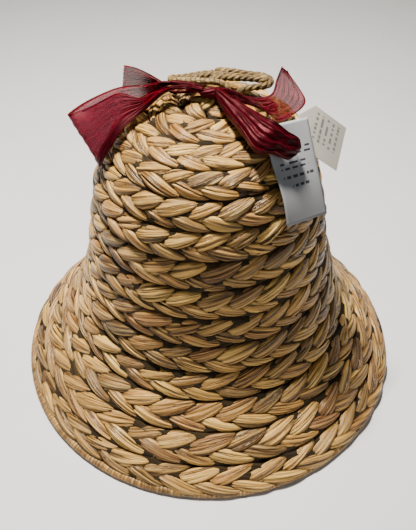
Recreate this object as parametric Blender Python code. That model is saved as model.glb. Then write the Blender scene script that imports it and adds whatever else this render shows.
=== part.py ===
# Woven bell ornament, in metres, +Z up, standing on its rim with the bow's side facing -Y.
# A hollow bell sewn from courses of three-strand braid stands on a wrapped hoop. A rope loop lies on
# its crown, an organza bow is tied in front of the loop, and two card tags hang on the right shoulder.

import math

import bmesh
import bpy
import numpy as np
from mathutils import Vector

# Outline of the woven surface at each turn of the profile, from mouth to crown: radius, with the
# height over what it stands on for the skirt, and the drop below the crown for the dome
RIM_RADIUS = 0.150
FLARE_RADIUS = 0.1372
FLARE_HEIGHT = 0.0204
SLOPE_RADIUS = 0.1075
SLOPE_HEIGHT = 0.0544
WAIST_RADIUS = 0.0925
WAIST_HEIGHT = 0.0926
BODY_RADIUS = 0.0832
BODY_HEIGHT = 0.1348
SHOULDER_RADIUS = 0.0742
SHOULDER_DROP = 0.051
BROW_RADIUS = 0.0555
BROW_DROP = 0.0203
DOME_RADIUS = 0.0206
DOME_DROP = 0.0062
CROWN_HEIGHT = 0.226
OUTLINE_STEPS = 24
SLOPE_SPAN = 0.004  # the outline's slope is read over this far each way

# Braid: thickness, how deep the grooves go, the width of a course, which changes from course to
# course counted up from the rim, and the pitch of its leaves at the rim, half way up and at the crown
BRAID_THICKNESS = 0.009
GROOVE_DEPTH = 0.0040
COURSES = 14
RIM_COURSE = 0.019
FLARE_COURSE = 0.0229
SLOPE_COURSE = 0.0206
BODY_COURSE = 0.0217
SHOULDER_COURSE = 0.0178
CROWN_COURSE = 0.0204
COURSE_PLACES = (0, 1, 3, 6.5, 10.2, 13)
RIM_LEAF = 0.024
BODY_LEAF = 0.019
CROWN_LEAF = 0.0135
FEWEST_LEAVES = 5
LEAF_LEAN = 1.6  # in half leaves, how far a leaf leans between the edge and the middle of its course
INNER_COLUMNS = 40

# Hoop under the rim, wrapped wire
BINDING_DIAMETER = 0.006
BINDING_SIDES = 8
BINDING_STEPS = 48

# Hanging loop, a rope that leaves the crown, lies round on it and goes back in
ROPE_DIAMETER = 0.0042
ROPE_SPACING = 0.0052

# Bow of organza ribbon
KNOT_LENGTH = 0.016
KNOT_WIDTH = 0.006
RIBBON_THICKNESS = 0.001
LOBE_THICKNESS = 0.0046

# Card tags
PRICE_WIDTH = 0.0317
PRICE_LENGTH = 0.059
PRICE_BEND = 0.0016
PRICE_TWIST = 0.6  # share of the bend at the card's middle line
PRICE_COLUMNS = 4
PRICE_ROWS = 8
HANG_WIDTH = 0.030
HANG_SIDE = 0.0297
HANG_LENGTH = 0.0403
HANG_TIP = 0.006
HANG_HOLE = 0.003
HANG_HOLE_DROP = 0.0042
CARD_THICKNESS = 0.0005

GAP = 0.0003  # clearance between pieces that touch

# Points of the soft pieces over the bell: degrees round from the front towards +X, distance down
# the surface from the crown, and distance out from the surface
LOOP_FRONT_TOP = (
    (-27, 0.005, 0.0068), (-83, 0.022, 0.0118), (-89, 0.041, 0.0085),
    (-96, 0.052, 0.0135), (-95, 0.067, 0.0184), (-92, 0.074, 0.0265),
)
LOOP_FRONT_BOTTOM = (
    (-25, 0.006, 0.0036), (-78, 0.022, 0.0098), (-77, 0.039, 0.0052),
    (-69, 0.057, 0.0048), (-67, 0.069, 0.0044), (-67.6, 0.0818, 0.0040),
)
LOOP_BACK_TOP = (
    (-93.2, 0.0757, 0.0280), (-96, 0.069, 0.0235), (-99, 0.060, 0.0180),
    (-101, 0.051, 0.0150), (-97, 0.037, 0.0128), (-89, 0.022, 0.0140), (-37, 0.003, 0.0066),
)
LOOP_BACK_BOTTOM = (
    (-69.8, 0.0822, 0.0036), (-74, 0.070, 0.0030), (-78, 0.058, 0.0028),
    (-84, 0.048, 0.0030), (-88, 0.040, 0.0034), (-88, 0.022, 0.0110), (-36, 0.005, 0.0036),
)
LEFT_TAIL_TOP = (
    (-41, 0.004, 0.0052), (-93, 0.017, 0.0046), (-100, 0.022, 0.0056),
    (-105, 0.028, 0.0118), (-110, 0.041, 0.0199), (-109, 0.048, 0.0246),
)
LEFT_TAIL_BOTTOM = (
    (-41, 0.004, 0.0036), (-93, 0.018, 0.0030), (-99, 0.023, 0.0036),
    (-104, 0.028, 0.0080), (-109, 0.044, 0.0098), (-110, 0.056, 0.0112),
)
LOBE_TOP = (
    (34, 0.005, 0.0060), (51, 0.016, 0.0060), (52, 0.026, 0.0076), (46, 0.041, 0.0134),
    (46, 0.049, 0.0168), (50, 0.054, 0.0144), (55, 0.059, 0.0126), (54, 0.063, 0.0116),
)
LOBE_BOTTOM = (
    (21, 0.008, 0.0044), (22, 0.017, 0.0056), (25, 0.029, 0.0060), (26, 0.046, 0.0086),
    (27, 0.055, 0.0106), (36, 0.059, 0.0106), (43, 0.064, 0.0090), (49, 0.065, 0.0096),
)
RIGHT_TAIL_TOP = (
    (45, 0.005, 0.0058), (70, 0.0125, 0.0075), (72, 0.024, 0.0078), (83, 0.036, 0.0110),
    (96, 0.038, 0.0180), (103, 0.040, 0.0242),
)
RIGHT_TAIL_BOTTOM = (
    (42, 0.006, 0.0040), (64, 0.022, 0.0040), (66, 0.036, 0.0060), (60, 0.047, 0.0080),
    (69, 0.051, 0.0125), (82, 0.054, 0.0150), (88, 0.053, 0.0165), (101, 0.044, 0.0215),
)
KNOT_POINT = (20, 0.0062, 0.0040)

# Cards: where the middle is over the bell, as degrees round, distance down and distance out, then
# where the face looks (degrees round and up) and its turn in its own plane
PRICE_ROUND = 50.7
PRICE_DOWN = 0.0736
PRICE_OUT = 0.0036
PRICE_FACING = (37.9, 33.9, -7.9)
HANG_ROUND = 77.9
HANG_DOWN = 0.0705
HANG_OUT = 0.0109
HANG_FACING = (47.0, 34.8, 39.8)
HANG_MIDDLE = 0.018  # from the card's lower edge to the point that places it

# Rope's route, as x, y and height over the crown, chosen by hand
ROPE_ROUTE = (
    (0.0120, -0.0006, -0.0026), (0.0118, -0.0004, 0.0008), (0.0090, 0.0004, 0.0042),
    (0.0035, 0.0014, 0.0054), (-0.0050, 0.0030, 0.0050), (-0.0130, 0.0044, 0.0046),
    (-0.0190, 0.0062, 0.0038), (-0.0230, 0.0102, 0.0026), (-0.0230, 0.0150, 0.0010),
    (-0.0190, 0.0186, -0.0006), (-0.0120, 0.0198, -0.0002), (-0.0040, 0.0202, 0.0010),
    (0.0050, 0.0204, 0.0016), (0.0150, 0.0204, 0.0012), (0.0250, 0.0198, 0.0010),
    (0.0325, 0.0176, 0.0014), (0.0372, 0.0130, 0.0018), (0.0382, 0.0080, 0.0018),
    (0.0355, 0.0036, 0.0020), (0.0295, 0.0012, 0.0022), (0.0235, 0.0010, 0.0014),
    (0.0196, 0.0012, -0.0008), (0.0186, 0.0014, -0.0040),
)


def smooth_points(points, steps):
    """A smooth curve through the points, with this many steps between two of them."""
    p = np.array([tuple(point) for point in points], float)
    t = np.concatenate([[0.0], np.cumsum(np.linalg.norm(np.diff(p, axis=0), axis=1))])
    slope = np.empty_like(p)
    slope[1:-1] = (p[2:] - p[:-2]) / (t[2:] - t[:-2])[:, None]
    slope[0] = 2 * (p[1] - p[0]) / (t[1] - t[0]) - slope[1]
    slope[-1] = 2 * (p[-1] - p[-2]) / (t[-1] - t[-2]) - slope[-2]
    curve = []
    for i in range(len(p) - 1):
        span = t[i + 1] - t[i]
        for k in range(steps):
            s = k / steps
            start = (2 * s**3 - 3 * s**2 + 1) * p[i] + (s**3 - 2 * s**2 + s) * span * slope[i]
            end = (3 * s**2 - 2 * s**3) * p[i + 1] + (s**3 - s**2) * span * slope[i + 1]
            curve.append(start + end)
    curve.append(p[-1])
    return np.array(curve)


def lengths_along(curve):
    return np.concatenate([[0.0], np.cumsum(np.linalg.norm(np.diff(curve, axis=0), axis=1))])


BINDING_TOP = BINDING_DIAMETER + GAP
OUTLINE = smooth_points(
    (
        (RIM_RADIUS, BINDING_TOP),
        (FLARE_RADIUS, FLARE_HEIGHT),
        (SLOPE_RADIUS, SLOPE_HEIGHT),
        (WAIST_RADIUS, WAIST_HEIGHT),
        (BODY_RADIUS, BODY_HEIGHT),
        (SHOULDER_RADIUS, CROWN_HEIGHT - SHOULDER_DROP),
        (BROW_RADIUS, CROWN_HEIGHT - BROW_DROP),
        (DOME_RADIUS, CROWN_HEIGHT - DOME_DROP),
        (0.0, CROWN_HEIGHT),
    ),
    OUTLINE_STEPS,
)
OUTLINE_LENGTH = lengths_along(OUTLINE)


def outline_at(distance, depth=0.0):
    """Radius and height of the surface at this distance up from the rim, and this far under it."""
    places = np.clip((distance - SLOPE_SPAN, distance, distance + SLOPE_SPAN), 0, OUTLINE_LENGTH[-1])
    low, here, high = np.stack(
        [np.interp(places, OUTLINE_LENGTH, OUTLINE[:, axis]) for axis in (0, 1)], axis=1
    )
    along = (high - low) / np.linalg.norm(high - low)
    return here + depth * np.array([-along[1], along[0]])


def over_bell(degrees, down, out):
    """The point this far round from the front, down from the crown and out from the surface."""
    radius, height = outline_at(OUTLINE_LENGTH[-1] - down, -out)
    angle = math.radians(degrees)
    return Vector((radius * math.sin(angle), -radius * math.cos(angle), height))


def course_edges():
    """Distances up from the rim where one course of braid ends and the next begins."""
    named = (RIM_COURSE, FLARE_COURSE, SLOPE_COURSE, BODY_COURSE, SHOULDER_COURSE, CROWN_COURSE)
    widths = np.interp(np.arange(COURSES), COURSE_PLACES, named)
    edges = np.concatenate([[0.0], np.cumsum(widths)])
    return edges * OUTLINE_LENGTH[-1] / edges[-1]


def leaf_counts(edges):
    middles = (edges[1:] + edges[:-1]) / 2
    pitches = np.interp(np.linspace(0, 1, COURSES), (0, 0.5, 1), (RIM_LEAF, BODY_LEAF, CROWN_LEAF))
    return [
        max(FEWEST_LEAVES, round(2 * math.pi * outline_at(middle)[0] / pitch))
        for middle, pitch in zip(middles, pitches)
    ]


def finish_object(name, mesh, material, smooth_angle=None):
    obj = bpy.data.objects.new(name, mesh)
    bpy.context.scene.collection.objects.link(obj)
    mesh.materials.append(material)
    if smooth_angle is not None:
        mesh.shade_smooth()
        mesh.set_sharp_from_angle(angle=math.radians(smooth_angle))
    return obj


def mesh_from(bm, name):
    bmesh.ops.recalc_face_normals(bm, faces=bm.faces)
    mesh = bpy.data.meshes.new(name)
    bm.to_mesh(mesh)
    bm.free()
    return mesh


def make_material(name, color, roughness, alpha=1.0):
    material = bpy.data.materials.new(name)
    material.use_nodes = True
    shader = material.node_tree.nodes["Principled BSDF"]
    shader.inputs["Base Color"].default_value = (*color, 1.0)
    shader.inputs["Roughness"].default_value = roughness
    shader.inputs["Alpha"].default_value = alpha
    return material


def ring_of(bm, points):
    return [bm.verts.new(point) for point in points]


def stitch(bm, lower, upper):
    """Faces between two rings round the axis, which may have different numbers of points."""
    turn = 2 * math.pi

    def angles(ring, start):
        found = [math.atan2(v.co.y, v.co.x) for v in ring]
        first = min(range(len(ring)), key=lambda i: abs((found[i] - start + math.pi) % turn - math.pi))
        order = [(first + i) % len(ring) for i in range(len(ring))]
        base = found[first]
        spread = [(found[i] - base) % turn for i in order]
        spread[0] = 0.0
        return [ring[i] for i in order] + [ring[first]], spread + [turn]

    a, angle_a = angles(lower, math.atan2(lower[0].co.y, lower[0].co.x))
    b, angle_b = angles(upper, math.atan2(lower[0].co.y, lower[0].co.x))
    i = 0
    j = 0
    while i < len(a) - 1 or j < len(b) - 1:
        middle_a = (angle_a[i] + angle_a[i + 1]) / 2 if i < len(a) - 1 else math.inf
        middle_b = (angle_b[j] + angle_b[j + 1]) / 2 if j < len(b) - 1 else math.inf
        if middle_a <= middle_b:
            bm.faces.new((a[i], a[i + 1], b[j]))
            i += 1
        else:
            bm.faces.new((a[i], b[j + 1], b[j]))
            j += 1


def band(bm, lower, upper):
    """Faces between two rings with the same number of points."""
    count = len(lower)
    for i in range(count):
        k = (i + 1) % count
        bm.faces.new((lower[i], lower[k], upper[k]))
        bm.faces.new((lower[i], upper[k], upper[i]))


# Across a course: share of its width, lean of the leaves, and groove depth on and between leaves
BRAID_ROWS = ((0.0, 1.0, 0.8, 1.0), (0.25, 0.5, 0.0, 0.9), (0.5, 0.0, 0.25, 0.8), (0.75, 0.5, 0.0, 0.9))


def braid_ring(bm, low, high, leaves, row):
    share, lean, on_leaf, between = BRAID_ROWS[row]
    columns = 2 * leaves
    upper_half = share > 0.5
    points = []
    for column in range(columns):
        crest = (column % 2 == 0) != upper_half
        depth = GROOVE_DEPTH * (on_leaf if crest else between)
        radius, height = outline_at(low + share * (high - low), depth)
        angle = math.pi * (column + lean * LEAF_LEAN) / leaves
        points.append((radius * math.cos(angle), radius * math.sin(angle), height))
    return ring_of(bm, points)


def make_woven_bell():
    bm = bmesh.new()
    edges = course_edges()
    counts = leaf_counts(edges)
    last = None
    for course, leaves in enumerate(counts):
        low = edges[course]
        high = edges[course + 1]
        rings = [braid_ring(bm, low, high, leaves, row) for row in range(len(BRAID_ROWS))]
        if course == 0:
            for vert in rings[0]:
                vert.co.z = BINDING_TOP
            mouth = rings[0]
        else:
            stitch(bm, last, rings[0])
        for lower, upper in zip(rings, rings[1:]):
            band(bm, lower, upper)
        last = rings[-1]
    crown = bm.verts.new((0, 0, CROWN_HEIGHT - GROOVE_DEPTH * 0.5))
    for i in range(len(last)):
        bm.faces.new((last[i], last[(i + 1) % len(last)], crown))

    # The inside is plain: a ring under each seam, and a cone over the last one
    angles = [2 * math.pi * i / INNER_COLUMNS for i in range(INNER_COLUMNS)]
    inner_rings = []
    for edge in edges[:-2]:
        radius, height = outline_at(edge, BRAID_THICKNESS)
        points = [(radius * math.cos(angle), radius * math.sin(angle), height) for angle in angles]
        inner_rings.append(ring_of(bm, points))
    for vert in inner_rings[0]:
        vert.co.z = BINDING_TOP
    for lower, upper in zip(inner_rings, inner_rings[1:]):
        band(bm, lower, upper)
    ceiling = bm.verts.new((0, 0, CROWN_HEIGHT - BRAID_THICKNESS))
    last = inner_rings[-1]
    for i in range(len(last)):
        bm.faces.new((last[i], last[(i + 1) % len(last)], ceiling))
    stitch(bm, mouth, inner_rings[0])
    straw = make_material("woven_straw", (0.52, 0.33, 0.15), 0.62)
    return finish_object("woven_bell", mesh_from(bm, "woven_bell"), straw, 35)


def make_rim_binding():
    bm = bmesh.new()
    radius = BINDING_DIAMETER / 2
    middle = RIM_RADIUS - radius
    flat = math.cos(math.pi / BINDING_SIDES)
    section = []
    for i in range(BINDING_SIDES):
        angle = 2 * math.pi * (i + 0.5) / BINDING_SIDES - math.pi / 2
        across = radius * math.cos(angle)
        section.append(bm.verts.new((middle + across, 0, radius + radius * math.sin(angle) / flat)))
    outline = [bm.edges.new(pair) for pair in zip(section, section[1:] + section[:1])]
    bmesh.ops.spin(
        bm, geom=section + outline, cent=(0, 0, 0), axis=(0, 0, 1), dvec=(0, 0, 0),
        angle=2 * math.pi, steps=BINDING_STEPS, use_merge=True, use_duplicate=False,
    )
    bmesh.ops.remove_doubles(bm, verts=bm.verts, dist=1e-6)
    wrap = make_material("wrapped_straw", (0.42, 0.27, 0.13), 0.66)
    return finish_object("rim_binding", mesh_from(bm, "rim_binding"), wrap, 40)


def make_hanging_loop():
    route = [(x, y, CROWN_HEIGHT + rise) for x, y, rise in ROPE_ROUTE]
    fine = smooth_points(route, 12)
    along = lengths_along(fine)
    count = max(8, round(along[-1] / ROPE_SPACING))
    stops = np.linspace(0, along[-1], count + 1)
    points = np.stack([np.interp(stops, along, fine[:, axis]) for axis in range(3)], axis=1)
    curve = bpy.data.curves.new("hanging_loop", "CURVE")
    curve.dimensions = "3D"
    curve.bevel_depth = ROPE_DIAMETER / 2
    curve.bevel_resolution = 2
    curve.use_fill_caps = True
    spline = curve.splines.new("POLY")
    spline.points.add(len(points) - 1)
    for target, point in zip(spline.points, points):
        target.co = (*point, 1.0)
    curve.materials.append(make_material("rope_straw", (0.55, 0.40, 0.21), 0.68))
    obj = bpy.data.objects.new("hanging_loop", curve)
    bpy.context.scene.collection.objects.link(obj)
    return obj


def strip_mesh(name, rail_a, rail_b, steps, across, thickness, plump=0.0):
    """A closed ribbon between two rails, with this thickness and this much more in the middle."""
    a = smooth_points([over_bell(*point) for point in rail_a], steps)
    b = smooth_points([over_bell(*point) for point in rail_b], steps)
    share_a = lengths_along(a) / lengths_along(a)[-1]
    share_b = lengths_along(b) / lengths_along(b)[-1]
    stops = np.linspace(0, 1, max(len(a), len(b)))
    a = np.stack([np.interp(stops, share_a, a[:, axis]) for axis in range(3)], axis=1)
    b = np.stack([np.interp(stops, share_b, b[:, axis]) for axis in range(3)], axis=1)
    shares = np.linspace(0, 1, across + 1)
    grid = a[:, None, :] * (1 - shares)[None, :, None] + b[:, None, :] * shares[None, :, None]
    along = np.gradient(grid, axis=0)
    over = np.gradient(grid, axis=1)
    normal = np.cross(along, over)
    normal /= np.linalg.norm(normal, axis=2, keepdims=True)
    half = thickness / 2 + plump / 2 * np.sin(np.pi * shares)[None, :, None]
    bm = bmesh.new()
    top = [[bm.verts.new(point) for point in row] for row in grid + normal * half]
    under = [[bm.verts.new(point) for point in row] for row in grid - normal * half]
    for i in range(len(stops) - 1):
        for j in range(across):
            bm.faces.new((top[i][j], top[i + 1][j], top[i + 1][j + 1], top[i][j + 1]))
            bm.faces.new((under[i][j], under[i][j + 1], under[i + 1][j + 1], under[i + 1][j]))
        for j in (0, across):
            bm.faces.new((top[i][j], under[i][j], under[i + 1][j], top[i + 1][j]))
    for j in range(across):
        for i in (0, len(stops) - 1):
            bm.faces.new((top[i][j], top[i][j + 1], under[i][j + 1], under[i][j]))
    return mesh_from(bm, name)


def make_ribbon_bow():
    organza = make_material("organza", (0.30, 0.012, 0.035), 0.45, 0.8)
    bm = bmesh.new()
    bmesh.ops.create_uvsphere(bm, u_segments=12, v_segments=6, radius=1.0)
    bmesh.ops.scale(bm, vec=(KNOT_LENGTH / 2, KNOT_WIDTH / 2, KNOT_WIDTH / 2), verts=bm.verts)
    bmesh.ops.translate(bm, vec=over_bell(*KNOT_POINT), verts=bm.verts)
    bow = finish_object("ribbon_bow", mesh_from(bm, "ribbon_bow"), organza, 40)
    strips = (
        ("left_loop", LOOP_FRONT_TOP + LOOP_BACK_TOP, LOOP_FRONT_BOTTOM + LOOP_BACK_BOTTOM, 2, 0.0),
        ("left_tail", LEFT_TAIL_TOP, LEFT_TAIL_BOTTOM, 2, 0.0),
        ("right_lobe", LOBE_TOP, LOBE_BOTTOM, 2, LOBE_THICKNESS - RIBBON_THICKNESS),
        ("right_tail", RIGHT_TAIL_TOP, RIGHT_TAIL_BOTTOM, 2, 0.0),
    )
    for name, rail_a, rail_b, steps, plump in strips:
        mesh = strip_mesh(name, rail_a, rail_b, steps, 3, RIBBON_THICKNESS, plump)
        helper = bpy.data.objects.new(name, mesh)
        bpy.context.scene.collection.objects.link(helper)
        helper.hide_render = True
        helper.display_type = "WIRE"
        union = bow.modifiers.new(name, "BOOLEAN")
        union.operation = "UNION"
        union.solver = "EXACT"
        union.object = helper
    return bow


def card_axes(facing):
    """Right, up and outward directions of a card that faces this way."""
    round_angle, rise, roll = (math.radians(value) for value in facing)
    outward = Vector((
        math.sin(round_angle) * math.cos(rise), -math.cos(round_angle) * math.cos(rise), math.sin(rise),
    ))
    level = Vector((math.cos(round_angle), math.sin(round_angle), 0))
    upward = outward.cross(level)
    right = level * math.cos(roll) + upward * math.sin(roll)
    up = upward * math.cos(roll) - level * math.sin(roll)
    return right, up, outward


def make_price_tag():
    right, up, outward = card_axes(PRICE_FACING)
    middle = over_bell(PRICE_ROUND, PRICE_DOWN, PRICE_OUT)
    bm = bmesh.new()
    bmesh.ops.create_grid(bm, x_segments=PRICE_COLUMNS, y_segments=PRICE_ROWS, size=0.5)
    for vert in bm.verts:
        x, y = vert.co.x, vert.co.y
        bend = PRICE_BEND * math.sin(2 * math.pi * (y + 0.5)) * (PRICE_TWIST - x)
        vert.co = middle + right * x * PRICE_WIDTH + up * y * PRICE_LENGTH + outward * bend
    grey = make_material("grey_card", (0.60, 0.62, 0.65), 0.5)
    obj = finish_object("price_tag", mesh_from(bm, "price_tag"), grey)
    thick = obj.modifiers.new("thickness", "SOLIDIFY")
    thick.thickness = CARD_THICKNESS
    thick.offset = 0.0
    return obj


def make_hang_tag():
    right, up, outward = card_axes(HANG_FACING)
    middle = over_bell(HANG_ROUND, HANG_DOWN, HANG_OUT)
    half = HANG_WIDTH / 2
    tip = HANG_TIP / 2
    right_corners = ((half, 0), (half, HANG_SIDE), (tip, HANG_LENGTH))
    corners = right_corners + tuple((-x, y) for x, y in reversed(right_corners))
    bm = bmesh.new()
    outline = bm.faces.new([bm.verts.new((x, y, 0)) for x, y in corners])
    solid = bmesh.ops.extrude_face_region(bm, geom=[outline])
    raised = [item for item in solid["geom"] if isinstance(item, bmesh.types.BMVert)]
    bmesh.ops.translate(bm, vec=(0, 0, CARD_THICKNESS), verts=raised)
    for vert in bm.verts:
        x, y, z = vert.co
        vert.co = middle + right * x + up * (y - HANG_MIDDLE) + outward * (z - CARD_THICKNESS / 2)
    cream = make_material("cream_card", (0.78, 0.75, 0.66), 0.55)
    obj = finish_object("hang_tag", mesh_from(bm, "hang_tag"), cream)

    cutter_bm = bmesh.new()
    bmesh.ops.create_cone(
        cutter_bm, cap_ends=True, segments=12, radius1=HANG_HOLE / 2, radius2=HANG_HOLE / 2,
        depth=CARD_THICKNESS * 8,
    )
    hole_y = HANG_LENGTH - HANG_HOLE_DROP - HANG_MIDDLE
    for vert in cutter_bm.verts:
        x, y, z = vert.co
        vert.co = middle + right * x + up * (y + hole_y) + outward * z
    cutter = bpy.data.objects.new("hang_tag_hole", mesh_from(cutter_bm, "hang_tag_hole"))
    bpy.context.scene.collection.objects.link(cutter)
    cutter.hide_render = True
    cutter.display_type = "WIRE"
    cut = obj.modifiers.new("hole", "BOOLEAN")
    cut.operation = "DIFFERENCE"
    cut.solver = "EXACT"
    cut.object = cutter
    return obj


for old in list(bpy.data.objects):
    bpy.data.objects.remove(old)
make_woven_bell()
make_rim_binding()
make_hanging_loop()
make_ribbon_bow()
make_price_tag()
make_hang_tag()
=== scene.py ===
import math

import bmesh
import bpy
import numpy as np
from mathutils import Matrix, Vector


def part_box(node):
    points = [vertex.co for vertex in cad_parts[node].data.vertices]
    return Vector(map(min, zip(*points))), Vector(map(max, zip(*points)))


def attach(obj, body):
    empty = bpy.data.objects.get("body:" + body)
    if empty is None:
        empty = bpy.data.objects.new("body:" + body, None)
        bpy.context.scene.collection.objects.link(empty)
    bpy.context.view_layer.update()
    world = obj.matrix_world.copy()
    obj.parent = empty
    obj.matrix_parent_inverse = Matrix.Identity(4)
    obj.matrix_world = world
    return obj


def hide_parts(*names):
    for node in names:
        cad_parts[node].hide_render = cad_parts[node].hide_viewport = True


# A bell sewn from braided straw on a wrapped hoop, with a rope loop, an organza bow and two card tags.
# Everything is in metres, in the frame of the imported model: +Z up, the bow's side facing -Y.

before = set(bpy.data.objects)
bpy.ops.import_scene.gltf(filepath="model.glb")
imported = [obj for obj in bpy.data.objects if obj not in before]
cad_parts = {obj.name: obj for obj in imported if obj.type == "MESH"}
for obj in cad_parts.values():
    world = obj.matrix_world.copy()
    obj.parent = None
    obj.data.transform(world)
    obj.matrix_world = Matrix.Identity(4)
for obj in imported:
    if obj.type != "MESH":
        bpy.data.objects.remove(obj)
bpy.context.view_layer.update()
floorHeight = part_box("rim_binding")[0].z


# Shared helpers

def shownObject(name, mesh, material=None):
    obj = bpy.data.objects.new(name, mesh)
    bpy.context.scene.collection.objects.link(obj)
    if material:
        obj.data.materials.append(material)
    return obj


def readCoords(mesh):
    coords = np.empty(len(mesh.vertices) * 3, np.float32)
    mesh.vertices.foreach_get("co", coords)
    return coords.reshape(-1, 3).astype(float)


def writeCoords(mesh, coords):
    mesh.vertices.foreach_set("co", np.asarray(coords, np.float32).ravel())
    mesh.update()


def meshFrom(bm, name):
    mesh = bpy.data.meshes.new(name)
    bm.to_mesh(mesh)
    bm.free()
    return mesh


def gridSheet(name, columns, rows):
    # a flat grid, with the column and row of each of its points
    bm = bmesh.new()
    bm.loops.layers.uv.new("UVMap")
    bmesh.ops.create_grid(bm, x_segments=columns, y_segments=rows, size=1.0, calc_uvs=True)
    mesh = meshFrom(bm, name)
    coords = readCoords(mesh)
    column = np.rint((coords[:, 0] + 1) / 2 * columns).astype(int)
    row = np.rint((coords[:, 1] + 1) / 2 * rows).astype(int)
    return mesh, column, row


def setUv(mesh, perPoint):
    corners = np.empty(len(mesh.loops), np.int32)
    mesh.loops.foreach_get("vertex_index", corners)
    mesh.uv_layers["UVMap"].data.foreach_set("uv", perPoint[corners].astype(np.float32).ravel())


def setPointColor(mesh, name, perPoint):
    layer = mesh.attributes.new(name, "FLOAT_COLOR", "POINT")
    full = np.ones((len(mesh.vertices), 4), np.float32)
    full[:, :perPoint.shape[1]] = perPoint
    layer.data.foreach_set("color", full.ravel())


def closeSeams(mesh, capped=False):
    # merges the points where a grid meets itself, and fills its open ends or drops its loose edges
    bm = bmesh.new()
    bm.from_mesh(mesh)
    bmesh.ops.remove_doubles(bm, verts=bm.verts, dist=1e-6)
    if capped:
        bmesh.ops.holes_fill(bm, edges=[edge for edge in bm.edges if edge.is_boundary], sides=0)
    else:
        bmesh.ops.delete(bm, geom=[edge for edge in bm.edges if not edge.link_faces], context="EDGES")
    bmesh.ops.recalc_face_normals(bm, faces=bm.faces)
    bm.to_mesh(mesh)
    bm.free()
    mesh.shade_smooth()


def joined(objs, name):
    with bpy.context.temp_override(active_object=objs[0], selected_editable_objects=objs):
        bpy.ops.object.join()
    objs[0].name = name
    objs[0].data.name = name
    return objs[0]


def smoothPoints(points, steps):
    # a smooth curve through the points, with this many steps between two of them
    p = np.array([tuple(point) for point in points], float)
    t = np.concatenate([[0.0], np.cumsum(np.linalg.norm(np.diff(p, axis=0), axis=1))])
    slope = np.empty_like(p)
    slope[1:-1] = (p[2:] - p[:-2]) / (t[2:] - t[:-2])[:, None]
    slope[0] = 2 * (p[1] - p[0]) / (t[1] - t[0]) - slope[1]
    slope[-1] = 2 * (p[-1] - p[-2]) / (t[-1] - t[-2]) - slope[-2]
    curve = []
    for i in range(len(p) - 1):
        span = t[i + 1] - t[i]
        for k in range(steps):
            s = k / steps
            start = (2 * s**3 - 3 * s**2 + 1) * p[i] + (s**3 - 2 * s**2 + s) * span * slope[i]
            end = (3 * s**2 - 2 * s**3) * p[i + 1] + (s**3 - s**2) * span * slope[i + 1]
            curve.append(start + end)
    curve.append(p[-1])
    return np.array(curve)


def lengthsAlong(curve):
    return np.concatenate([[0.0], np.cumsum(np.linalg.norm(np.diff(curve, axis=0), axis=1))])


def evenPoints(curve, count):
    along = lengthsAlong(curve)
    stops = np.linspace(0, along[-1], count)
    return np.stack([np.interp(stops, along, curve[:, axis]) for axis in range(3)], axis=1)


def unit(vectors):
    return vectors / np.maximum(np.linalg.norm(vectors, axis=-1, keepdims=True), 1e-12)


# Materials are built from nodes with these

def newMaterial(name, roughness, **plain):
    material = bpy.data.materials.new(name)
    material.use_nodes = True
    shader = material.node_tree.nodes["Principled BSDF"]
    shader.inputs["Roughness"].default_value = roughness
    for socket, value in plain.items():
        shader.inputs[socket.replace("_", " ")].default_value = value
    return material, shader


def addNode(material, kind, settings=None, **inputs):
    node = material.node_tree.nodes.new(kind)
    for key, value in (settings or {}).items():
        setattr(node, key, value)
    for key, value in inputs.items():
        place = int(key[1:]) if key[0] == "n" and key[1:].isdigit() else key.replace("_", " ")
        if isinstance(value, bpy.types.NodeSocket):
            material.node_tree.links.new(value, node.inputs[place])
        else:
            node.inputs[place].default_value = value
    return node


def mathNode(material, operation, first, second=0.0, clamp=False):
    settings = {"operation": operation, "use_clamp": clamp}
    return addNode(material, "ShaderNodeMath", settings, n0=first, n1=second).outputs[0]


def mixColor(material, factor, first, second, blend="MIX"):
    node = addNode(material, "ShaderNodeMix", {"data_type": "RGBA", "blend_type": blend})
    for place, value in ((0, factor), (6, first), (7, second)):
        if isinstance(value, bpy.types.NodeSocket):
            material.node_tree.links.new(value, node.inputs[place])
        else:
            node.inputs[place].default_value = value
    return node.outputs[2]


def rampOf(material, factor, stops):
    node = addNode(material, "ShaderNodeValToRGB", Fac=factor)
    while len(node.color_ramp.elements) < len(stops):
        node.color_ramp.elements.new(0.5)
    for element, (place, color) in zip(node.color_ramp.elements, stops):
        element.position = place
        element.color = (*color, 1.0) if len(color) == 3 else color
    return node.outputs["Color"]


def linkTo(material, output, shader, socket):
    material.node_tree.links.new(output, shader.inputs[socket])


def objectSpace(material):
    return addNode(material, "ShaderNodeTexCoord").outputs["Object"]


def uvSpace(material):
    return addNode(material, "ShaderNodeUVMap", {"uv_map": "UVMap"}).outputs["UV"]


def noiseOf(material, vector, scale, detail, roughness=0.5):
    return addNode(material, "ShaderNodeTexNoise", Vector=vector, Scale=scale, Detail=detail,
                   Roughness=roughness).outputs["Fac"]


def partsOf(material, attribute):
    color = addNode(material, "ShaderNodeAttribute", {"attribute_name": attribute}).outputs["Color"]
    return addNode(material, "ShaderNodeSeparateColor", Color=color).outputs


def stretched(material, x, y, times, z=0.0):
    return addNode(material, "ShaderNodeCombineXYZ", X=mathNode(material, "MULTIPLY", x, times[0]),
                   Y=mathNode(material, "MULTIPLY", y, times[1]), Z=z).outputs[0]


# Camera and light

view = {
    "distance": 0.4622,
    "aimHeight": 0.0842,
    "lookDown": 43.38,
    "focalPixels": 600.0,
    "centrePixel": (208.5, 260.6),
    "photoWidth": 416,
    "photoHeight": 530,
}


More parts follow.
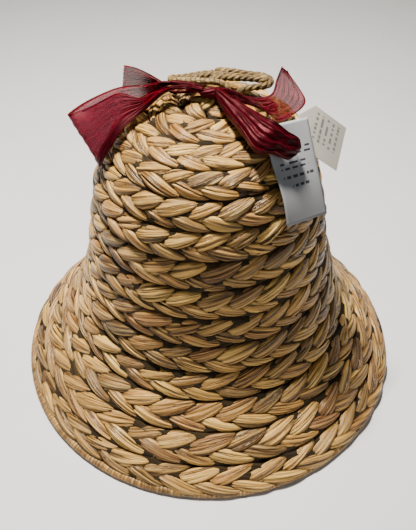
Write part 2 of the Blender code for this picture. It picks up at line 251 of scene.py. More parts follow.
def makeCamera():
    data = bpy.data.cameras.new("camera")
    data.sensor_fit = "VERTICAL"
    data.sensor_height = 36.0
    data.lens = view["focalPixels"] * data.sensor_height / view["photoHeight"]
    data.shift_x = (view["photoWidth"] / 2 - view["centrePixel"][0]) / view["photoHeight"]
    data.shift_y = (view["centrePixel"][1] - view["photoHeight"] / 2) / view["photoHeight"]
    data.clip_start = 0.01
    camera = bpy.data.objects.new("camera", data)
    bpy.context.scene.collection.objects.link(camera)
    tilt = math.radians(view["lookDown"])
    reach = view["distance"]
    camera.location = (0, -reach * math.cos(tilt), view["aimHeight"] + reach * math.sin(tilt))
    camera.rotation_euler = (math.pi / 2 - tilt, 0, 0)
    bpy.context.scene.camera = camera


studio = {
    "keyPlace": (-0.15, 0.12, 0.98),
    "keySize": 0.12,
    "keyPower": 28.0,
    "keyColor": (1.0, 0.95, 0.88),
    "fillPlace": (0.5, -1.3, 1.2),
    "fillSize": 0.9,
    "fillPower": 3.6,
    "fillColor": (0.92, 0.95, 1.0),
    "lightsAim": (0, 0, 0.1),
    "skyColor": (0.86, 0.88, 0.92),
    "skyStrength": 0.06,
    "floorColor": (0.74, 0.74, 0.73),
    "floorReach": 6.0,
}


def makeLight(name, place, size, power, color):
    data = bpy.data.lights.new(name, "AREA")
    data.size = size
    data.energy = power
    data.color = color
    light = bpy.data.objects.new(name, data)
    bpy.context.scene.collection.objects.link(light)
    light.location = place
    toBell = Vector(studio["lightsAim"]) - Vector(place)
    light.rotation_euler = toBell.to_track_quat("-Z", "Y").to_euler()


def makeStudio():
    for kind in ("key", "fill"):
        makeLight(f"{kind}Light", *(studio[f"{kind}{what}"] for what in ("Place", "Size", "Power", "Color")))
    world = bpy.data.worlds.new("softRoom")
    world.use_nodes = True
    sky = world.node_tree.nodes["Background"]
    sky.inputs["Color"].default_value = (*studio["skyColor"], 1.0)
    sky.inputs["Strength"].default_value = studio["skyStrength"]
    bpy.context.scene.world = world

    bm = bmesh.new()
    bmesh.ops.create_grid(bm, x_segments=1, y_segments=1, size=studio["floorReach"])
    bmesh.ops.translate(bm, vec=(0, 0, floorHeight), verts=bm.verts)
    mesh = meshFrom(bm, "floor")
    material, shader = newMaterial("paleFloor", 0.6)
    mottle = noiseOf(material, objectSpace(material), 9.0, 3.0)
    light = studio["floorColor"]
    dark = tuple(value * 0.97 for value in light)
    linkTo(material, rampOf(material, mottle, ((0.35, dark), (0.65, light))), shader, "Base Color")
    shownObject("floor", mesh, material)


makeCamera()
makeStudio()
print("camera and light ready")


# The surface that the braid follows: radius and height from under the rim up to the crown

bell = {
    "hang": ((0.1500, 0.0010), (0.1508, 0.0032)),
    "skirt": ((0.1372, 0.0204), (0.1075, 0.0544), (0.0925, 0.0926), (0.0832, 0.1348)),
    "dome": ((0.0742, 0.0510), (0.0555, 0.0203), (0.0206, 0.0062), (0.0, 0.0)),
    "crownHeight": 0.226,
    "rimRadius": 0.150,
    "rimHeight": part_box("woven_bell")[0].z,
    "steps": 24,
    "slopeSpan": 0.004,
}
crown = bell["crownHeight"]
domePoints = [(radius, crown - drop) for radius, drop in bell["dome"]]
rimPoint = (bell["rimRadius"], bell["rimHeight"])
outline = smoothPoints([rimPoint, *bell["skirt"], *domePoints], bell["steps"])
outlineLength = lengthsAlong(outline)
underRim = np.array([*bell["hang"], rimPoint])
underLength = lengthsAlong(underRim) - lengthsAlong(underRim)[-1]
fullOutline = np.concatenate([underRim[:-1], outline])
fullLength = np.concatenate([underLength[:-1], outlineLength])


def outlineAt(distance, depth=0.0):
    # radius and height at this distance up from the rim, this far under the surface, for whole arrays
    span = bell["slopeSpan"]
    low, here, high = (
        np.stack([np.interp(distance + shift, fullLength, fullOutline[:, axis]) for axis in (0, 1)], axis=-1)
        for shift in (-span, 0.0, span)
    )
    along = unit(high - low)
    inward = np.stack([-along[..., 1], along[..., 0]], axis=-1)
    return here + np.asarray(depth)[..., None] * inward, along, inward


def overBell(degrees, down, out):
    # the point this far round from the front, down from the crown and out from the surface
    (radius, height), _, _ = outlineAt(np.asarray(outlineLength[-1] - down), -out)
    angle = math.radians(degrees)
    return np.array([radius * math.sin(angle), -radius * math.cos(angle), height])


# Straw finishes

def strawMaterial(name, tones, streakColor, paleLineAndGlintColor, roughness, streakStrength, bumpDepth, fibreScale):
    # leaf holds the tone of each leaf, its tint and its painted shade; UV runs along and across, in metres
    material, shader = newMaterial(
        name, roughness, Specular_IOR_Level=0.60, Specular_Tint=(1.0, 0.86, 0.62, 1.0))
    tone, tint, paintedShade = partsOf(material, "leaf")
    spread = addNode(material, "ShaderNodeSeparateXYZ", Vector=uvSpace(material))
    ownPlace = mathNode(material, "MULTIPLY", tone, 37.0)
    fibreSpace = stretched(material, spread.outputs["X"], spread.outputs["Y"], fibreScale, ownPlace)
    fibre = noiseOf(material, fibreSpace, 1.0, 4.0, 0.62)
    coarse = noiseOf(material, fibreSpace, 0.42, 3.0, 0.6)
    patches = noiseOf(material, objectSpace(material), 70.0, 2.0)

    toneMixed = mathNode(material, "ADD", tone, mathNode(
        material, "MULTIPLY", mathNode(material, "SUBTRACT", coarse, 0.5), 1.5), clamp=True)
    base = rampOf(material, toneMixed, tones)
    tinted = mixColor(material, mathNode(material, "MULTIPLY", tint, 0.38), base, (0.42, 0.17, 0.07, 1.0))
    greenish = mathNode(material, "MULTIPLY", mathNode(material, "SUBTRACT", 1.0, tint), mathNode(
        material, "MULTIPLY", patches, 0.42))
    withGreen = mixColor(material, greenish, tinted, (0.30, 0.25, 0.12, 1.0))
    lines = rampOf(material, fibre, ((0.41, (1.0, 1.0, 1.0)), (0.49, (0.0, 0.0, 0.0))))
    streaked = mixColor(
        material, mathNode(material, "MULTIPLY", lines, streakStrength), withGreen, (*streakColor, 1.0))
    # pale fibre lines: partly the straw's own pale fibres, partly painted highlight standing in for glints
    # along them
    bright = rampOf(material, fibre, ((0.52, (0.0, 0.0, 0.0)), (0.66, (1.0, 1.0, 1.0))))
    lifted = mixColor(material, mathNode(material, "MULTIPLY", bright, 0.50), streaked, (*paleLineAndGlintColor, 1.0))
    # painted shade: the third leaf channel mixes the colour towards near black in seams, grooves and folds
    shaded = mixColor(material, paintedShade, lifted, (0.004, 0.0015, 0.0005, 1.0))
    linkTo(material, shaded, shader, "Base Color")
    bump = addNode(
        material, "ShaderNodeBump", Strength=0.9, Distance=bumpDepth, Height=fibre).outputs["Normal"]
    linkTo(material, bump, shader, "Normal")
    rough = mathNode(material, "ADD", roughness - 0.09, mathNode(material, "MULTIPLY", fibre, 0.2))
    dull = mathNode(material, "ADD", rough, mathNode(material, "MULTIPLY", paintedShade, 0.7), clamp=True)
    linkTo(material, dull, shader, "Roughness")
    return material


leafTones = (
    (0.0, (0.060, 0.021, 0.004)),
    (0.25, (0.170, 0.068, 0.011)),
    (0.55, (0.400, 0.188, 0.030)),
    (0.80, (0.660, 0.335, 0.055)),
    (1.0, (0.960, 0.580, 0.130)),
)
strawLeaf = strawMaterial(
    "wovenStraw", leafTones, (0.050, 0.018, 0.004), (1.0, 0.66, 0.20), 0.27, 0.95, 0.0022, (24.0, 700.0))


# The braid: courses of flat three-strand braid, each with an upper and a lower row of leaves on both faces.
# A leaf starts under the seam in the middle of its course and runs out to the edge of it.

braid = {
    "widths": (0.019, 0.0229, 0.0206, 0.0217, 0.0178, 0.0204),
    "places": (0, 1, 3, 6.5, 10.2, 13),
    "courses": 14,
    "leafPitches": (0.025, 0.0205, 0.0165),
    "fewestLeaves": 5,
    "reach": 1.74,
    "upperFrom": 0.43,
    "lowerFrom": 0.51,
    "edgePlace": 0.93,
    "upperWidth": 0.61,
    "lowerWidth": 0.54,
    "tipShape": 0.44,
    "leafHeight": 0.0048,
    "middleDepth": 0.0044,
    "startDip": 0.0010,
    "endDip": 0.0003,
    "lean": 0.14,
    "wallDepth": 0.0090,
    "outerSteps": 14,
    "outerRows": (22, 8),
    "innerSteps": 10,
    "innerRows": (5, 3),
    "rasterCell": 0.0005,
    "seamReach": (1, 3),
    "seed": 11,
    "ringShowsFrom": -78.0,
    "ringShowsTo": -8.0,
    "ringLift": 0.0042,
    "seamSink": 0.0007,
    "grooveWidth": 0.065,
    "grooveSink": 0.0012,
    "rimOverhang": 0.0032,
    "sectionShape": 0.78,
    "foldDepth": 0.0010,
    "foldShade": 0.60,
    "ridgeDepth": 0.00022,
    "buriedFrom": 0.0024,
    "buriedSpan": 0.0016,
    "leafTone": (0.55, 0.19),
    "leafTint": (0.36, 0.34),
    "coreOffset": 0.0016,
    "coreHalf": 0.0004,
}


def courseEdges():
    widths = np.interp(np.arange(braid["courses"]), braid["places"], braid["widths"])
    edges = np.concatenate([[0.0], np.cumsum(widths)])
    return edges * outlineLength[-1] / edges[-1]


def leavesIn(course, edges):
    middle = (edges[course] + edges[course + 1]) / 2
    share = course / (braid["courses"] - 1)
    pitch = np.interp(share, (0, 0.5, 1), braid["leafPitches"])
    radius = outlineAt(np.asarray(middle))[0][0]
    return max(braid["fewestLeaves"], round(2 * math.pi * radius / pitch))


def smoothStep(value):
    value = np.clip(value, 0, 1)
    return value * value * (3 - 2 * value)


def rimShift(course, angle, share):
    # how far the lowest course is lifted where the hoop shows under it, and how far it hangs over elsewhere
    if course > 0:
        return 0.0
    degrees = (np.degrees(angle) + 180) % 360 - 180
    middleShown = (braid["ringShowsFrom"] + braid["ringShowsTo"]) / 2
    halfShown = (braid["ringShowsTo"] - braid["ringShowsFrom"]) / 2
    window = smoothStep(1.35 - np.abs(degrees - middleShown) / halfShown)
    return (braid["ringLift"] * window - braid["rimOverhang"] * (1 - window)) * np.clip(1 - share, 0, 1)


def finer(values, factor):
    # the same points with more between them, along the leaf and round its section
    for axis, times in ((1, factor), (2, factor)):
        size = values.shape[axis]
        places = np.linspace(0, size - 1, (size - 1) * times + 1)
        before = np.minimum(places.astype(int), size - 2)
        part = places - before
        shape = [1] * values.ndim
        shape[axis] = len(part)
        part = part.reshape(shape)
        values = np.take(values, before, axis) * (1 - part) + np.take(values, before + 1, axis) * part
    return values


def widened(field, steps):
    # each cell takes the highest value near it
    for _ in range(steps):
        field = np.maximum(field, np.maximum(np.roll(field, 1, 0), np.roll(field, -1, 0)))
        below = np.pad(field, ((0, 0), (1, 0)), mode="edge")[:, :-1]
        above = np.pad(field, ((0, 0), (0, 1)), mode="edge")[:, 1:]
        field = np.maximum(field, np.maximum(below, above))
    return field


def seamShades(roundWay, across, height, group):
    # how far each point lies under the leaves beside its own, from 0 in the open to 1 in a seam
    cell = braid["rasterCell"]
    turns = int(np.ceil(roundWay.max() / cell)) + 1
    levels = int(np.ceil((across.max() - across.min()) / cell)) + 3
    base = across.min() - cell

    def cellsOf(roundPlace, acrossPlace):
        first = np.clip((roundPlace / cell).astype(int), 0, turns - 1)
        return first * levels + np.clip(((acrossPlace - base) / cell).astype(int), 0, levels - 1)

    fine = [finer(values, 4) for values in (np.unwrap(roundWay, axis=1, period=turns * cell), across, height)]
    fine[0] = fine[0] % (turns * cell)
    fields = []
    for number in range(4):
        mine = group == number
        field = np.full(turns * levels, -1.0)
        np.maximum.at(field, cellsOf(fine[0][mine], fine[1][mine]).ravel(), fine[2][mine].ravel())
        fields.append(widened(field.reshape(turns, levels), 1))
    shade = np.zeros_like(height)
    here = cellsOf(roundWay, across)
    for number in range(4):
        mine = group == number
        others = np.max([field for place, field in enumerate(fields) if place != number], axis=0)
        near = widened(others, braid["seamReach"][0] - 1).ravel()[here[mine]] - height[mine]
        wide = widened(others, braid["seamReach"][1] - 1).ravel()[here[mine]] - height[mine]
        shade[mine] = 0.75 * smoothStep((near + 0.0002) / 0.0009)
        shade[mine] += 0.35 * smoothStep((wide + 0.0004) / 0.0026)
    return shade.clip(0, 1)


def makeLeaves(name, rng, low, high, leaves, start, course, inner):
    steps = braid["innerSteps"] if inner else braid["outerSteps"]
    topRows, underRows = braid["innerRows"] if inner else braid["outerRows"]
    rows = topRows + underRows
    count = 2 * leaves
    mesh, column, row = gridSheet(name, count * (steps + 1) - 1, rows)
    width = high - low
    upper = (np.arange(count) % 2 == 0)[:, None]
    sign = np.where(upper, 1.0, -1.0)
    u = np.linspace(0, 1, steps + 1)[None, :]

    def each(lowest, highest):
        return rng.uniform(lowest, highest, (count, 1))

    # The middle line of each leaf: how far round, how far across the course, how deep
    reach = braid["reach"] * min(1.0, leaves / 9) * each(0.94, 1.08)
    shift = each(-0.07, 0.07)
    roundPlace = (np.arange(count)[:, None] / 2 + shift + reach * (u - 0.5)) * (-1.0 if inner else 1.0)
    angle = start + 2 * math.pi * roundPlace / leaves
    climb = 0.35 * u + 0.65 * smoothStep(u)
    seam = np.where(upper, braid["upperFrom"], braid["lowerFrom"]) + each(-0.03, 0.02)
    edge = braid["edgePlace"] + each(-0.05, 0.04)
    share = seam + (edge - seam) * climb
    share = np.where(upper, share, 1 - share)
    share = share + sign * each(-0.04, 0.04) * np.sin(math.pi * u)
    across = width * share + rimShift(course, angle, share)
    rise = each(-0.0006, 0.0005)
    dip = braid["startDip"] * (1 - u) ** 1.6 + braid["endDip"] * u ** 5
    depth = braid["middleDepth"] + rise + dip
    if inner:
        depth = braid["wallDepth"] - depth
    place, along, inward = outlineAt(low + across, depth)
    roundWay = np.stack([np.sin(angle), -np.cos(angle)], axis=-1)
    centre = np.concatenate([roundWay * place[..., :1], place[..., 1:]], axis=-1)
    outward = -np.concatenate([roundWay * inward[..., :1], inward[..., 1:]], axis=-1)
    if inner:
        outward = -outward
    ahead = unit(np.gradient(centre, axis=1))
    side = unit(np.cross(outward, ahead))
    outward = unit(np.cross(ahead, side))
    lean = -sign * braid["lean"] + each(-0.12, 0.12) + each(-0.30, 0.30) * (u - 0.5)
    leanSide = side * np.cos(lean)[..., None] + outward * np.sin(lean)[..., None]
    leanOut = outward * np.cos(lean)[..., None] - side * np.sin(lean)[..., None]

    # The section: a plump outer side with long creases and folds, a flat inner side
    arc = np.linspace(0, 1, topRows + 1)
    turned = np.concatenate([
        0.5 * (math.pi * arc + np.arccos(1 - 2 * arc)),
        math.pi * (1 + np.arange(1, underRows + 1) / underRows),
    ])
    x = np.cos(turned)[None, None, :]
    crowned = np.abs(np.sin(turned)) ** braid["sectionShape"]
    height = np.where(np.sin(turned) > 0, crowned, 0.6 * np.sin(turned))[None, None, :]
    body = np.sin(math.pi * np.clip(u + 0.05 * np.sin(math.pi * u), 0, 1)).clip(0, 1)
    leafWidth = np.where(upper, braid["upperWidth"], braid["lowerWidth"]) * width
    halfWidth = leafWidth / 2 * each(0.90, 1.12) * body ** braid["tipShape"]
    plump = braid["leafHeight"] * (width / 0.021) ** 0.5 * each(0.90, 1.12) * body ** 0.5
    onTop = np.clip(np.sin(turned) * 1.8, 0, 1)[None, None, :]
    drift = each(-0.5, 0.5) * (u - 0.5)
    folds = 0.0
    shade = 0.0
    for _ in range(3):
        foldPlace = (each(-0.8, 0.8) + drift)[..., None]
        foldDepth = np.clip(each(-0.6, 1.0), 0, 1)[..., None]
        foldSpan = each(0.045, 0.10)[..., None]
        line = np.exp(-(((x - foldPlace) / foldSpan) ** 2)) * foldDepth
        folds = folds - braid["foldDepth"] * line * body[..., None]
        # painted shade along each fold crease
        shade = shade + braid["foldShade"] * line
    ridges = np.sin((each(7, 12)[..., None] * x) + each(0, 6.28)[..., None] + 3 * drift[..., None])
    folds = folds + braid["ridgeDepth"] * ridges * body[..., None]
    out = plump[..., None] * height + folds * onTop
    coords = centre[:, :, None, :] + leanSide[:, :, None, :] * (halfWidth[..., None] * x)[..., None]
    coords = coords + leanOut[:, :, None, :] * out[..., None]
    coords[:, 0] = coords[:, :1, :1].mean(axis=2)[:, 0, None]
    coords[:, -1] = coords[:, -1:, :1].mean(axis=2)[:, 0, None]
    coords[:, :, -1] = coords[:, :, 0]
    if not inner:
        offset = coords - centre[:, :, None, :]
        ringWay = np.stack([np.cos(angle), np.sin(angle), 0 * angle], axis=-1)[:, :, None, :]
        slopeWay = np.concatenate([roundWay * along[..., :1], along[..., 1:]], axis=-1)[:, :, None, :]
        normalWay = np.cross(ringWay, slopeWay)
        ringRadius = place[:, :, :1].mean()
        roundPlace = (angle[..., None] % (2 * math.pi)) * ringRadius + (offset * ringWay).sum(axis=-1)
        height = (offset * normalWay).sum(axis=-1) - depth[..., None]
        acrossPlace = across[..., None] + (offset * slopeWay).sum(axis=-1)
        group = (np.arange(count) % 2) + 2 * (np.arange(count) // 2 % 2)
        seams = seamShades(roundPlace % (2 * math.pi * ringRadius), acrossPlace, height, group)
        fromEdge = 1 - acrossPlace / width
        if course > 0:
            fromEdge = np.minimum(fromEdge, acrossPlace / width)
        groove = smoothStep((braid["grooveWidth"] - fromEdge) / (1.3 * braid["grooveWidth"]))
        sink = braid["seamSink"] * seams + braid["grooveSink"] * groove
        coords = coords - normalWay * (sink * onTop)[..., None]
        # the course grooves join the seams in the painted shade
        seams = np.clip(seams + groove, 0, 1)
    else:
        seams = 0.0
    leaf = column // (steps + 1)
    step = column % (steps + 1)
    writeCoords(mesh, coords[leaf, step, row])

    # UV runs along and across the fibres; the color layer holds tone, tint and painted shade
    reachMetres = reach * 2 * math.pi * place[:, steps // 2, :1] / leaves
    tone = np.clip(rng.normal(*braid["leafTone"], (count, 1)), 0.02, 0.98)
    tint = np.clip(rng.normal(*braid["leafTint"], (count, 1)), 0, 1) ** 1.4
    uvAlong = (reachMetres * u)[..., None] + 0 * x
    uvAcross = leafWidth[..., None] / 2 * (x + 0.8 * drift[..., None]) + 3 * tone[..., None]
    # painted shade: leaf edges (partly their own dark edges), undersides, parts sunk under neighbours, seams,
    # course grooves and fold creases are darkened
    edgeShade = smoothStep((np.abs(x) - 0.82) / 0.18) * 0.72
    under = (np.clip(-np.sin(turned), 0, 1) * 0.5)[None, None, :]
    lifted = np.cos(lean)[..., None] * out
    tilted = np.sin(lean)[..., None] * halfWidth[..., None] * x
    buried = (braid["middleDepth"] + rise + dip)[..., None] - lifted - tilted
    seamShade = 0.95 * smoothStep((buried - braid["buriedFrom"]) / braid["buriedSpan"])
    paintedShade = np.clip(edgeShade + under + seamShade + 0.9 * seams + shade * onTop, 0, 0.97)
    uv = np.stack([uvAlong, uvAcross + 0 * uvAlong], axis=-1)
    setUv(mesh, uv[leaf, step, row])
    setPointColor(mesh, "leaf", np.column_stack([tone[leaf, 0], tint[leaf, 0], paintedShade[leaf, step, row]]))
    closeSeams(mesh)
    return shownObject(name, mesh, strawLeaf)


def makeBraid():
    edges = courseEdges()
    rng = np.random.default_rng(braid["seed"])
    for course in range(braid["courses"]):
        leaves = leavesIn(course, edges)
        name = f"braidCourse{course + 1:02d}"
        start = rng.uniform(0, 2 * math.pi)
        ends = edges[course], edges[course + 1]
        outer = makeLeaves(name, rng, *ends, leaves, start, course, False)
        innerLeaves = makeLeaves(f"{name}Inner", rng, *ends, leaves, start, course, True)
        piece = joined([outer, innerLeaves], name)
        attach(piece, "root")
        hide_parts("woven_bell")


def makeBraidShadeCore():
    # a near-black sheet in the middle of the braid: painted shade that shows only between the leaves
    middle = braid["wallDepth"] / 2 + braid["coreOffset"]
    depths = (middle - braid["coreHalf"], middle + braid["coreHalf"])
    distances = np.linspace(0.003, outlineLength[-1] - 0.002, 60)
    faces = [outlineAt(distances, np.full_like(distances, depth))[0] for depth in depths]
    profile = [*faces[0], *faces[1][::-1]]
    bm = bmesh.new()
    points = [bm.verts.new((radius, 0, height)) for radius, height in profile]
    edges = [bm.edges.new(pair) for pair in zip(points, points[1:] + points[:1])]
    bmesh.ops.spin(
        bm, geom=points + edges, cent=(0, 0, 0), axis=(0, 0, 1), dvec=(0, 0, 0),
        angle=2 * math.pi, steps=96, use_merge=True, use_duplicate=False,
    )
    bmesh.ops.recalc_face_normals(bm, faces=bm.faces)
    mesh = meshFrom(bm, "braidShadeCore")
    mesh.shade_smooth()
    material, shader = newMaterial("paintedShadeStraw", 1.0, Specular_IOR_Level=0.0)
    grain = noiseOf(material, objectSpace(material), 300.0, 3.0)
    linkTo(material, rampOf(material, grain, ((0.3, (0.002, 0.001, 0.0004)), (0.7, (0.008, 0.003, 0.001)))),
           shader, "Base Color")
    piece = shownObject("braidShadeCore", mesh, material)
    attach(piece, "root")
    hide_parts("woven_bell")


makeBraid()
makeBraidShadeCore()
print("braid ready")


# The hoop under the rim: wire wound with split straw

hoop = {
    "wrapWidth": 0.0026,
    "pointsPerWrap": 4,
    "pointsRound": 14,
    "wrapsPerPatch": 9,
    "seed": 5,
}
hoopStraw = strawMaterial(
    "woundStraw", leafTones, (0.08, 0.035, 0.012), (0.60, 0.42, 0.18), 0.45, 0.7, 0.0004, (500.0, 120.0))


def makeHoop():
    low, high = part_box("rim_binding")
    radius = (high.z - low.z) / 2
    middle = high.x - radius
    rng = np.random.default_rng(hoop["seed"])
    wraps = round(2 * math.pi * middle / hoop["wrapWidth"])
    columns = wraps * hoop["pointsPerWrap"]
    rows = hoop["pointsRound"]
    mesh, column, row = gridSheet("rimHoop", columns, rows)
    place = column % columns / hoop["pointsPerWrap"]
    wrap = np.floor(place).astype(int)
    within = place - wrap
    angle = 2 * math.pi * (column % columns) / columns
    turn = 2 * math.pi * (row % rows) / rows
    patch = rng.uniform(0, 1, wraps // hoop["wrapsPerPatch"] + 1)[wrap // hoop["wrapsPerPatch"]]
    single = rng.uniform(-1, 1, wraps)[wrap]
    bulge = 0.93 + 0.07 * np.sin(math.pi * within) ** 0.5 + 0.03 * single
    reach = middle + radius * bulge * np.cos(turn)
    height = np.maximum(radius + radius * bulge * np.sin(turn), 0) + low.z
    writeCoords(mesh, np.column_stack([reach * np.sin(angle), -reach * np.cos(angle), height]))
    setUv(mesh, np.column_stack([angle * middle, turn * radius]))
    # painted shade between the wraps, in the leaf layer's third channel
    edge = 0.45 * (np.abs(within - 0.5) > 0.3)
    tone = np.clip(0.22 + 0.3 * patch + 0.12 * single, 0, 1)
    setPointColor(mesh, "leaf", np.column_stack([tone, 0.5 * patch, edge]))
    closeSeams(mesh)
    piece = shownObject("rimHoop", mesh, hoopStraw)
    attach(piece, "root")
    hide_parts("rim_binding")


makeHoop()
print("hoop ready")


# The hanging loop: a rope on the crown, wound with straw on the near side, its plies open on the right

rope = {
    "diameter": 0.0042,
    "route": (
        (0.0120, -0.0006, -0.0026), (0.0118, -0.0004, 0.0008), (0.0090, 0.0004, 0.0042),
        (0.0035, 0.0014, 0.0054), (-0.0050, 0.0030, 0.0050), (-0.0130, 0.0044, 0.0046),
        (-0.0190, 0.0062, 0.0038), (-0.0230, 0.0102, 0.0026), (-0.0230, 0.0150, 0.0010),
        (-0.0190, 0.0186, -0.0006), (-0.0120, 0.0198, -0.0002), (-0.0040, 0.0202, 0.0010),
        (0.0050, 0.0204, 0.0016), (0.0150, 0.0204, 0.0012), (0.0250, 0.0198, 0.0010),
        (0.0325, 0.0176, 0.0014), (0.0372, 0.0130, 0.0018), (0.0382, 0.0080, 0.0018),
        (0.0355, 0.0036, 0.0020), (0.0295, 0.0012, 0.0022), (0.0235, 0.0010, 0.0014),
        (0.0196, 0.0012, -0.0008), (0.0186, 0.0014, -0.0040),
    ),
    "plies": (
        ((0.0040, 0.0190, 0.0042), (0.0110, 0.0165, 0.0052), (0.0190, 0.0145, 0.0050),
         (0.0270, 0.0125, 0.0040), (0.0330, 0.0100, 0.0036), (0.0362, 0.0066, 0.0036)),
        ((0.0000, 0.0040, 0.0052), (0.0080, 0.0062, 0.0056), (0.0160, 0.0075, 0.0048),
         (0.0240, 0.0084, 0.0040), (0.0310, 0.0074, 0.0038), (0.0352, 0.0050, 0.0036)),
        ((0.0020, 0.0110, 0.0030), (0.0100, 0.0112, 0.0046), (0.0180, 0.0110, 0.0042),
         (0.0260, 0.0106, 0.0032), (0.0340, 0.0104, 0.0030), (0.0366, 0.0092, 0.0032)),
        ((-0.0140, 0.0080, 0.0024), (-0.0050, 0.0110, 0.0040), (0.0060, 0.0140, 0.0042),
         (0.0160, 0.0160, 0.0040), (0.0260, 0.0158, 0.0032), (0.0335, 0.0130, 0.0026)),
        ((-0.0160, 0.0130, 0.0010), (-0.0060, 0.0155, 0.0022), (0.0040, 0.0160, 0.0030),
         (0.0150, 0.0130, 0.0034), (0.0250, 0.0135, 0.0030), (0.0340, 0.0118, 0.0024)),
    ),
    "plyDiameter": 0.0038,
    "windWidth": 0.0029,
    "twistLength": 0.0125,
    "woundUntil": 0.36,
    "pointsRound": 20,
    "stepLength": 0.0004,
    "pathStep": 0.003,
    "seed": 3,
}
ropeTones = (
    (0.0, (0.035, 0.015, 0.003)),
    (0.35, (0.095, 0.046, 0.010)),
    (0.7, (0.200, 0.112, 0.028)),
    (1.0, (0.420, 0.270, 0.080)),
)
ropeStraw = strawMaterial(
    "ropeStraw", ropeTones, (0.06, 0.026, 0.008), (0.42, 0.30, 0.12), 0.40, 0.7, 0.0008, (160.0, 1300.0))


def ropeFrame(points):
    ahead = unit(np.gradient(points, axis=0))
    side = unit(np.cross(ahead, np.array([0, 0, 1.0])))
    return side, np.cross(side, ahead)


def makeRopeTube(name, route, diameter, woundUntil, seed):
    rng = np.random.default_rng(seed)
    curve = smoothPoints([(x, y, crown + rise) for x, y, rise in route], 12)
    length = lengthsAlong(curve)[-1]
    columns = round(length / rope["stepLength"])
    rows = rope["pointsRound"]
    points = evenPoints(curve, columns + 1)
    side, up = ropeFrame(points)
    mesh, column, row = gridSheet(name, columns, rows)
    along = np.arange(columns + 1) / columns * length
    turn = 2 * math.pi * (row % rows) / rows
    s = along[column]
    wound = smoothStep((woundUntil - s / length) / 0.04 + 0.5)

    wrapPlace = s / rope["windWidth"] + turn / (2 * math.pi)
    within = wrapPlace % 1.0
    wrapTone = rng.uniform(0, 1, 400)[np.floor(wrapPlace).astype(int) % 400]
    woundRadius = diameter / 2 * (0.90 + 0.10 * np.sin(math.pi * within) ** 0.4 + 0.12 * (wrapTone - 0.5))

    twist = turn - 2 * math.pi * s / rope["twistLength"]
    lobes = np.abs(np.cos(1.5 * twist))
    fibres = np.sin(9 * twist + 700 * s) + np.sin(14 * twist - 450 * s + 2)
    plyRadius = diameter / 2 * (0.66 + 0.40 * lobes ** 0.7 + 0.055 * fibres)
    ends = np.minimum(s, length - s) / (diameter * 0.5)
    roundedEnd = np.sqrt(np.clip(1 - (1 - np.clip(ends, 0, 1)) ** 2, 0.02, 1))
    radius = (wound * woundRadius + (1 - wound) * plyRadius) * roundedEnd
    offset = np.cos(turn)[:, None] * side[column] + np.sin(turn)[:, None] * up[column]
    writeCoords(mesh, points[column] + radius[:, None] * offset)
    setUv(mesh, np.column_stack([s + turn * 0.001, turn * diameter / 2]))
    plyTone = 0.55 + 0.25 * np.sin(np.floor((twist / (2 * math.pi) * 1.5) % 3) * 2.1 + seed)
    tone = np.clip(wound * (0.45 + 0.5 * wrapTone) + (1 - wound) * plyTone, 0, 1)
    # painted shade in the grooves between the wraps and between the plies
    wrapEdge = smoothStep((np.abs(within - 0.5) - 0.34) / 0.16)
    groove = wound * 0.75 * wrapEdge + (1 - wound) * 0.95 * (1 - lobes) ** 1.4
    groove = groove + 0.12 * (1 - wound) * np.clip(-fibres, 0, 2)
    setPointColor(mesh, "leaf", np.column_stack([tone, 0.25 * wrapTone, np.clip(groove, 0, 0.9)]))
    closeSeams(mesh, capped=True)
    piece = shownObject(name, mesh, ropeStraw)
    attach(piece, "root")
    return piece


loopPiece = makeRopeTube("hangingLoop", rope["route"], rope["diameter"], rope["woundUntil"], rope["seed"])
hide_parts("hanging_loop")
for number, plyRoute in enumerate(rope["plies"]):
    makeRopeTube(f"loopPly{number + 1}", plyRoute, rope["plyDiameter"], 0.0, rope["seed"] + 1 + number)
print("rope ready")


# The bow: strips of one sheer ribbon, between an upper and a lower edge, in bell coordinates
# (degrees round from the front, distance down from the crown, distance out)

